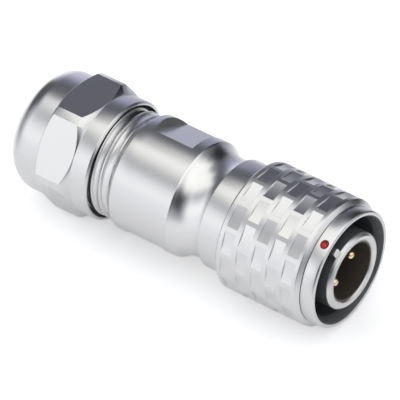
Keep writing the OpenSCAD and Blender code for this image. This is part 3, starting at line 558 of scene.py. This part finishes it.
body_clock = clocks(ROUND_STEPS, [flat_middle + flat_reach, flat_middle - flat_reach,
                                  flat_middle + 180 + flat_reach, flat_middle + 180 - flat_reach])


def flat_turn(clock):
    """Angle in radians from the middle of the nearer wrench flat."""
    return np.radians((clock - flat_middle + 90) % 180 - 90)


def flat_radius(clock):
    """Radius of the body with its two wrench flats: their distance over cos(angle), or the round."""
    return np.minimum(BODY_R, FLAT_HALF / np.cos(flat_turn(clock)))


def thread_rows(clock):
    """Places along X and radii of the gland thread's rows at each clock angle.

    A turn of the thread has the rows of RIDGE_PLACE, as shares of the pitch, and every row moves forward by
    one pitch in 360 degrees. The ridge's height at a row goes from RIDGE_FOOT to 1 as RIDGE_SHAPE does. It
    grows over RUN_IN behind the body and fades over RUN_OFF at the end, where the core narrows to a nose.
    A plain land of height LAND_LIFT stands beside the body. Turns past either end fall on that end's place.
    """
    turns = np.arange(int((BODY_END - THREAD_END) / PITCH) + SPARE_TURNS)
    start = (BODY_END + THREAD_LEAD - PITCH * (turns[:, None] + RIDGE_PLACE)).reshape(-1, 1)
    x = np.clip(start + PITCH * clock / 360, THREAD_END, BODY_END)
    height = np.tile(RIDGE_FOOT + (1 - RIDGE_FOOT) * RIDGE_SHAPE, len(turns))[:, None]
    grown = np.clip((BODY_END - x - RUN_IN_FROM) / RUN_IN, 0, 1) * np.clip((x - THREAD_END) / RUN_OFF, 0, 1)
    core = THREAD_ROOT_R - THREAD_NOSE * np.clip(1 - (x - THREAD_END) / THREAD_NOSE_LEN, 0, 1)
    land = THREAD_ROOT_R + LAND_LIFT * np.clip(1 - (BODY_END - LAND_LEN - x) / LAND_EASE, 0, 1)
    return x, np.maximum(core + (THREAD_R - THREAD_ROOT_R) * height * grown, land)


# The cove is an arc of radius COVE_R whose lowest point is the neck, and the shoulder a small arc that
# goes on from the cove's last slope to the body
cove_turn = np.linspace(-np.arcsin((NECK_FRONT - NECK_LOW) / COVE_R), np.radians(COVE_TURN), COVE_POINTS)
cove = np.stack([NECK_LOW - COVE_R * np.sin(cove_turn), NECK_R + COVE_R * (1 - np.cos(cove_turn))], -1)
shoulder_turn = np.radians(np.linspace(COVE_TURN, SHOULDER_TURN, SHOULDER_POINTS))
shoulder = np.stack([SHOULDER_EDGE + SHOULDER_R * (np.sin(shoulder_turn) - np.sin(shoulder_turn[-1])),
                     BODY_R + SHOULDER_R * (np.cos(shoulder_turn) - np.cos(shoulder_turn[-1]))], -1)
spigot = eased([
    (GLAND_FLOOR, SPIGOT_BORE_R, 0), (SPIGOT_FRONT, SPIGOT_BORE_R, FINE_EDGE),
    (SPIGOT_FRONT, SPIGOT_R, SPIGOT_EDGE), (RING_FRONT, SPIGOT_R, 0), (RING_FRONT, RING_GROOVE_R, 0),
    (RING_REAR, RING_GROOVE_R, 0), (RING_REAR, SPIGOT_R, 0), (NECK_FRONT, SPIGOT_R, 0),
    (NECK_FRONT, NECK_R, 0)])[:-CORNER]
body_rear = eased([
    (FLAT_REAR, BODY_R, 0), (BODY_END, BODY_R, BODY_EDGE), (BODY_END, THREAD_ROOT_R, 0),
    (THREAD_END, THREAD_ROOT_R, 0)])[CORNER:3 * CORNER]
gland = eased([
    (BODY_END, THREAD_ROOT_R, 0), (THREAD_END, THREAD_ROOT_R - THREAD_NOSE, FINE_EDGE),
    (THREAD_END, GLAND_BORE_R, FINE_EDGE), (GLAND_FLOOR, GLAND_BORE_R, 0),
    (GLAND_FLOOR, SPIGOT_BORE_R, 0)])[CORNER:4 * CORNER]
thread_x, thread_r = thread_rows(body_clock)
plain = np.ones((1, len(body_clock)))
milled_rows = np.array([False, True, True, False])[:, None]
flats_r = np.where(milled_rows, flat_radius(body_clock), BODY_R)
flats_x = np.array([[FLAT_FRONT], [FLAT_FRONT], [FLAT_REAR], [FLAT_REAR]]) * plain
flats_x[-1] -= FLAT_LEAN * np.maximum(BODY_R * np.cos(flat_turn(body_clock)) - FLAT_HALF, 0)
body_x = np.concatenate([spigot[:, :1] * plain, cove[:, :1] * plain, shoulder[:, :1] * plain, flats_x,
                         body_rear[:, :1] * plain, thread_x, gland[:, :1] * plain])
body_radius = np.concatenate([spigot[:, 1:] * plain, cove[:, 1:] * plain, shoulder[:, 1:] * plain, flats_r,
                              body_rear[:, 1:] * plain, thread_r, gland[:, 1:] * plain])
flats_from = len(spigot) + len(cove) + len(shoulder)
body_between = (body_clock[1:] + body_clock[:-1]) / 2
body_finish = np.zeros((len(body_x), len(body_clock) - 1), int)
body_finish[len(spigot) - 1:flats_from - 1] = 2
body_finish[flats_from + 1] = flat_radius(body_between) < BODY_R - HAIR
rear_shell = turned("rear_shell", body_x, body_radius, body_clock,
                    [satin_chrome, milled_chrome, polished_chrome], body_finish)
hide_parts("back_shell")
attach(rear_shell, "plug_body")

# Cable clamp: a rubber bush in the shell's rear, a slotted plastic collet that squeezes it and grips the
# cable, and a plain washer under the nut. Only the cable hole shows them, so the solids' shapes stay.
collet_plastic = moulded("collet_plastic", (0.74, 0.72, 0.67), roughness=0.5, grain=4000, depth=0.006)
dressed({"cable_grommet": seal_rubber, "clamp_collet": collet_plastic, "thrust_washer": nickel})

# Gland nut: turned and chromed from hexagon bar, with a round collar in front, a hexagon with turned corners
# and a domed end round the cable hole. It screws on the shell's thread and pushes the clamp together. Its
# mouth and bore are coloured a darker grey, painted shade of the recess.
hex_chrome = plated("hex_chrome", CHROME, lines=1500, roughness=0.22, spread=0.05, depth=0.003)
# Darker grey for the nut's mouth and bore: painted shade of the recess, with a rougher finish
bore_painted_shade = plated("bore_painted_shade", (0.27, 0.27, 0.277), lines=4000, roughness=0.48, spread=0.1, depth=0.004)
NUT_FRONT, NUT_R, NUT_END, DOME_R, DOME_POINTS = -38.613, 8.95, -53.013, 3.5, 25
NUT_LIP, NUT_LIP_EASE = 0.25, 0.15
HEX_FRONT, HEX_REAR, HEX_HALF, HEX_CORNER_R, HEX_STEPS = -41.413, -47.313, 9.0, 10.046, 240
HEX_FRONT_BEVEL, HEX_REAR_BEVEL, HEX_EDGE, HEX_EDGE_FALL = 0.99, 0.77, 0.06, 0.036
NUT_MOUTH_R, NUT_MOUTH_LEN, NUT_MOUTH_EDGE, NUT_MOUTH_CONE, NUT_BORE_R = 8.45, 0.9, 0.06, 0.4, 8.05
NUT_FLOOR, NUT_POCKET_R, NUT_THREAD_END, NUT_CONE = -49.473, 6.1, -46.373, 1.8
CABLE_HOLE_R, HOLE_EDGE, HOLE_EDGE_EASE, HOLE_EASE = 3.95, 0.6, 0.08, 0.3
corner_reach = np.degrees(np.arccos(HEX_HALF / HEX_CORNER_R))
hex_middle = 60 * np.arange(6)
hex_clock = clocks(HEX_STEPS, np.concatenate([hex_middle + corner_reach, hex_middle - corner_reach]))


def hex_radius(clock):
    """Radius of the hexagon: half its width over cos(angle from the flat's middle), or the turned corner."""
    off = (clock + 30) % 60 - 30
    return np.minimum(HEX_CORNER_R, HEX_HALF / np.cos(np.radians(off)))


# The hexagon's two ends are turned to cones, which reach further along it the more a corner stands out
hex_r = hex_radius(hex_clock)
hex_foot = np.full_like(hex_r, NUT_R)
cone_share = (hex_r - NUT_R) / (HEX_CORNER_R - NUT_R)
front_line = HEX_FRONT - HEX_FRONT_BEVEL * cone_share
rear_line = HEX_REAR + HEX_REAR_BEVEL * cone_share
hex_x = np.stack([np.full_like(hex_r, HEX_FRONT), front_line + HEX_EDGE_FALL, front_line - HEX_EDGE,
                  rear_line + HEX_EDGE, rear_line - HEX_EDGE_FALL, np.full_like(hex_r, HEX_REAR)])
hex_x = np.clip(hex_x, HEX_REAR, HEX_FRONT)
cone_r = np.maximum(hex_r - HEX_EDGE_FALL, NUT_R)
hex_rows = np.stack([hex_foot, cone_r, hex_r, hex_r, cone_r, hex_foot])
mouth_floor = NUT_FRONT - NUT_MOUTH_LEN
nut_front = eased([
    (mouth_floor, NUT_MOUTH_R, 0), (NUT_FRONT, NUT_MOUTH_R, NUT_MOUTH_EDGE),
    (NUT_FRONT, NUT_R - NUT_LIP, FINE_EDGE), (NUT_FRONT - NUT_LIP, NUT_R, NUT_LIP_EASE),
    (HEX_FRONT, NUT_R, 0)])[:-CORNER]
dome_turn = np.radians(np.linspace(0, 90, DOME_POINTS))
dome = np.stack([NUT_END + DOME_R * (1 - np.sin(dome_turn)), NUT_R - DOME_R * (1 - np.cos(dome_turn))], -1)
nut_inside = eased([
    (NUT_END, NUT_R - DOME_R, 0), (NUT_END, CABLE_HOLE_R + HOLE_EDGE, HOLE_EDGE_EASE),
    (NUT_END + HOLE_EDGE, CABLE_HOLE_R, HOLE_EASE), (NUT_FLOOR, CABLE_HOLE_R, 0),
    (NUT_FLOOR, NUT_POCKET_R, 0), (NUT_THREAD_END - NUT_CONE, NUT_POCKET_R, 0),
    (NUT_THREAD_END, NUT_BORE_R, 0), (mouth_floor - NUT_MOUTH_CONE, NUT_BORE_R, 0),
    (mouth_floor, NUT_MOUTH_R, 0)])[CORNER:-CORNER]
plain = np.ones((1, len(hex_clock)))
nut_x = np.concatenate([nut_front[:, :1] * plain, hex_x, dome[:, :1] * plain, nut_inside[:, :1] * plain])
nut_radius = np.concatenate([nut_front[:, 1:] * plain, hex_rows, dome[:, 1:] * plain,
                             nut_inside[:, 1:] * plain])
hex_between = (hex_clock[1:] + hex_clock[:-1]) / 2
nut_finish = np.zeros((len(nut_x), len(hex_clock) - 1), int)
nut_finish[len(nut_front) + 2] = hex_radius(hex_between) < HEX_CORNER_R - HAIR
# The mouth's wall and the bore rows get the darker grey of painted shade
nut_finish[:CORNER] = 2
nut_finish[-2 * CORNER:] = 2
cable_nut = turned("cable_nut", nut_x, nut_radius, hex_clock, [satin_chrome, hex_chrome, bore_painted_shade],
                   nut_finish)
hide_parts("gland_nut")
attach(cable_nut, "nut")

# Studio: a plain white floor under the nut, a pale world, two soft lamps over and in front of the plug, and
# a round tent of bright and dark cards with soft edges, which only the metal's shine sees. The shine shows
# the floor near the plug, less bright than the camera sees it, and the tent beyond.
FLOOR_Z, FLOOR_HALF, FLOOR_NEAR, FLOOR_FAR = -9.5, 3000, 30, 56
FLOOR_WHITE, FLOOR_LIFT, FLOOR_MIRRORED = (0.92, 0.92, 0.92, 1), 0.33, 0.25
TENT_R, TENT_X, TENT_COLUMNS, TENT_ROWS = 100, -25, 181, 121
WORLD_PALE = (0.88, 0.885, 0.9, 1)
bpy.context.scene.view_settings.view_transform = "Standard"


def sheet_piece(name, x, y, z, material):
    """Open sheet on a grid of x, y and z arrays, as part of the studio."""
    mesh = bpy.data.meshes.new(name)
    points = np.stack([x, y, z], -1).reshape(-1, 3) * MM
    mesh.from_pydata(points.tolist(), [], grid_faces(np.arange(x.size).reshape(x.shape)).tolist())
    mesh.materials.append(material)
    sheet = bpy.data.objects.new(name, mesh)
    bpy.context.scene.collection.objects.link(sheet)
    return sheet


floor_white, floor_tree, floor_shader = new_material("floor_white")
floor_shader.inputs["Base Color"].default_value = FLOOR_WHITE
floor_shader.inputs["Roughness"].default_value = 0.9
floor_shader.inputs["Specular IOR Level"].default_value = 0.0
floor_shader.inputs["Emission Color"].default_value = (1, 1, 1, 1)
rays = node(floor_tree, "ShaderNodeLightPath").outputs
mirrored = worked_out(floor_tree, "MULTIPLY", rays["Is Glossy Ray"], FLOOR_MIRRORED)
seen = worked_out(floor_tree, "MAXIMUM", rays["Is Camera Ray"], mirrored)
seen_through = worked_out(floor_tree, "MAXIMUM", seen, rays["Is Transmission Ray"])
lift = worked_out(floor_tree, "MULTIPLY", seen_through, FLOOR_LIFT)
floor_tree.links.new(lift, floor_shader.inputs["Emission Strength"])
floor_where = node(floor_tree, "ShaderNodeTexCoord").outputs["Object"]
floor_far = node(floor_tree, "ShaderNodeVectorMath", {0: floor_where}, operation="DISTANCE")
floor_far.inputs[1].default_value = (TENT_X * MM, 0, FLOOR_Z * MM)
floor_end = node(floor_tree, "ShaderNodeMapRange", {"Value": floor_far.outputs["Value"]},
                 interpolation_type="SMOOTHSTEP", From_Min=FLOOR_NEAR * MM, From_Max=FLOOR_FAR * MM)
tent_seen = worked_out(floor_tree, "MULTIPLY", floor_end.outputs["Result"], rays["Is Glossy Ray"])
floor_gone = node(floor_tree, "ShaderNodeBsdfTransparent").outputs["BSDF"]
floor_mix = node(floor_tree, "ShaderNodeMixShader",
                 {0: tent_seen, 1: floor_shader.outputs["BSDF"], 2: floor_gone})
floor_tree.links.new(floor_mix.outputs[0], floor_tree.nodes["Material Output"].inputs["Surface"])
floor_x, floor_y = np.meshgrid([-FLOOR_HALF, FLOOR_HALF], [-FLOOR_HALF, FLOOR_HALF], indexing="ij")
sheet_piece("floor", floor_x, floor_y, np.full(floor_x.shape, FLOOR_Z), floor_white)

# Each card of the tent: azimuth and elevation of its middle, half its width and height, and the width of its
# soft edge, all in degrees as seen from the plug, and its colour. A later card hangs in front of an earlier.
TENT_CLOTH = (0.375, 0.385, 0.425)
TENT_CARDS = {
    "table": (-55, -52, 175, 40, 22, (0.875, 0.88, 0.89)),
    "far_table": (117, -11, 25, 9, 18, (0.67, 0.68, 0.755)),
    "roof_panel": (-126, 73, 90, 28, 27, (1.255, 1.25, 1.22)),
    "roof_seam": (-124, 39, 21, 5, 49, (0, 0, 0.015)),
    "top_panel": (18, 68, 77, 31, 29, (1.32, 1.32, 1.295)),
    "roof_cap": (0, 90, 180, 16, 11, (1.25, 1.255, 1.22)),
    "side_panel": (-123, 8, 33, 31, 30, (1.05, 1.06, 1.09)),
    "lens_hood": (-54, 20, 19, 16, 15, (0.03, 0.033, 0.033)),
    "back_hood": (117, 40, 58, 20, 23, (0.128, 0.132, 0.155)),
    "lilac_panel": (131, 11, 12, 16, 26, (0.455, 0.465, 0.64)),
    "dark_corner": (80, 28, 23, 18, 11, (0.015, 0.015, 0.022)),
    "low_fill": (156, -7, 18, 12, 44, (1.62, 1.62, 1.64)),
    "rear_dark": (170, 21, 18, 17, 9, (0.1, 0.107, 0.117)),
    "front_fill": (12, 22, 38, 15, 7, (1.05, 1.055, 1.07)),
    "side_post": (53, 23, 15, 29, 25, (0.17, 0.178, 0.195)),
    "low_dark": (62, -3, 12, 8, 8, (0.02, 0.02, 0.02)),
    "side_glow": (-121, 15, 30, 9, 20, (1.24, 1.245, 1.26))}


def card_cover(azimuth, elevation, card_azimuth, card_elevation, half_width, half_height, soft):
    """Share of the tent that a card hides at each place: 1 inside it, 0 outside, eased across its soft edge.

    The distance from the card's edge is the longer overlap inside, and the straight distance outside. Across
    the soft edge the share s goes over as 3 s squared minus 2 s cubed.
    """
    over_side = np.abs((azimuth - card_azimuth + 180) % 360 - 180) - half_width
    over_end = np.abs(elevation - card_elevation) - half_height
    outside = np.hypot(np.maximum(over_side, 0), np.maximum(over_end, 0))
    away = outside + np.minimum(np.maximum(over_side, over_end), 0)
    share = np.clip(0.5 - away / soft, 0, 1)
    return (share * share * (3 - 2 * share))[..., None]


tent_azimuth, tent_elevation = np.meshgrid(
    np.linspace(-180, 180, TENT_COLUMNS), np.linspace(-90, 90, TENT_ROWS), indexing="ij")
shine = np.broadcast_to(TENT_CLOTH, (*tent_azimuth.shape, 3))
for *card_place, card_colour in TENT_CARDS.values():
    cover = card_cover(tent_azimuth, tent_elevation, *card_place)
    shine = shine * (1 - cover) + np.array(card_colour) * cover
tent_cloth, tent_tree, tent_shader = new_material("tent_cloth")
tent_tree.nodes.remove(tent_shader)
tent_shine = node(tent_tree, "ShaderNodeAttribute", attribute_name="shine")
tent_light = node(tent_tree, "ShaderNodeEmission", {"Color": tent_shine.outputs["Color"]})
tent_tree.links.new(tent_light.outputs["Emission"], tent_tree.nodes["Material Output"].inputs["Surface"])
tent_az, tent_el = np.radians(tent_azimuth), np.radians(tent_elevation)
tent = sheet_piece("tent", TENT_X + TENT_R * np.cos(tent_el) * np.cos(tent_az),
                   TENT_R * np.cos(tent_el) * np.sin(tent_az), TENT_R * np.sin(tent_el), tent_cloth)
tent_colours = tent.data.attributes.new("shine", "FLOAT_COLOR", "POINT")
tent_colours.data.foreach_set("color", np.concatenate([shine, np.ones((*shine.shape[:2], 1))], -1).ravel())
tent.visible_camera = False
tent.visible_diffuse = False
tent.visible_transmission = False
tent.visible_shadow = False


def soft_lamp(name, clock, far, middle_x, length, width, radiance):
    """Rectangular soft lamp at a clock angle over the axis; its power is radiance times pi times its area."""
    lamp = bpy.data.lights.new(name, "AREA")
    lamp.shape = "RECTANGLE"
    lamp.size = length * MM
    lamp.size_y = width * MM
    lamp.energy = radiance * np.pi * length * width * MM * MM
    box = bpy.data.objects.new(name, lamp)
    angle = np.radians(clock)
    out = Vector((0, -np.sin(angle), np.cos(angle)))
    box.location = (Vector((middle_x, 0, 0)) + out * far) * MM
    turn = np.array([[1, 0, 0], list(out.cross(Vector((1, 0, 0)))), list(out)]).T
    box.rotation_mode = "QUATERNION"
    box.rotation_quaternion = Matrix(turn.tolist()).to_quaternion()
    box.visible_camera = False
    box.visible_glossy = False
    bpy.context.scene.collection.objects.link(box)


soft_lamp("over_lamp", clock=12, far=240, middle_x=-120, length=460, width=170, radiance=0.35)
soft_lamp("front_lamp", clock=66, far=240, middle_x=-120, length=460, width=110, radiance=0.35)
world = bpy.data.worlds.new("pale_world")
bpy.context.scene.world = world
world.use_nodes = True
world.node_tree.nodes["Background"].inputs["Color"].default_value = WORLD_PALE
world.node_tree.nodes["Background"].inputs["Strength"].default_value = 1.0

# Camera: the photo's long lens, to the right of the plug and above it, with the mating end towards it.
CAMERA_AZIMUTH, CAMERA_ELEVATION, CAMERA_FAR = np.radians(36.63), np.radians(40.39), 905
CAMERA_TARGET, LENS_LENGTH, SENSOR_WIDTH = Vector((-25.34, -0.1823, -0.172)), 589.6, 36
camera_back = Vector((np.sin(CAMERA_AZIMUTH) * np.cos(CAMERA_ELEVATION),
                      -np.cos(CAMERA_AZIMUTH) * np.cos(CAMERA_ELEVATION), np.sin(CAMERA_ELEVATION)))
lens = bpy.data.cameras.new("photo_lens")
lens.sensor_width = SENSOR_WIDTH
lens.lens = LENS_LENGTH
camera = bpy.data.objects.new("photo_camera", lens)
camera.location = (CAMERA_TARGET + camera_back * CAMERA_FAR) * MM
camera.rotation_mode = "QUATERNION"
camera.rotation_quaternion = (-camera_back).to_track_quat("-Z", "Y")
bpy.context.scene.collection.objects.link(camera)
bpy.context.scene.camera = camera
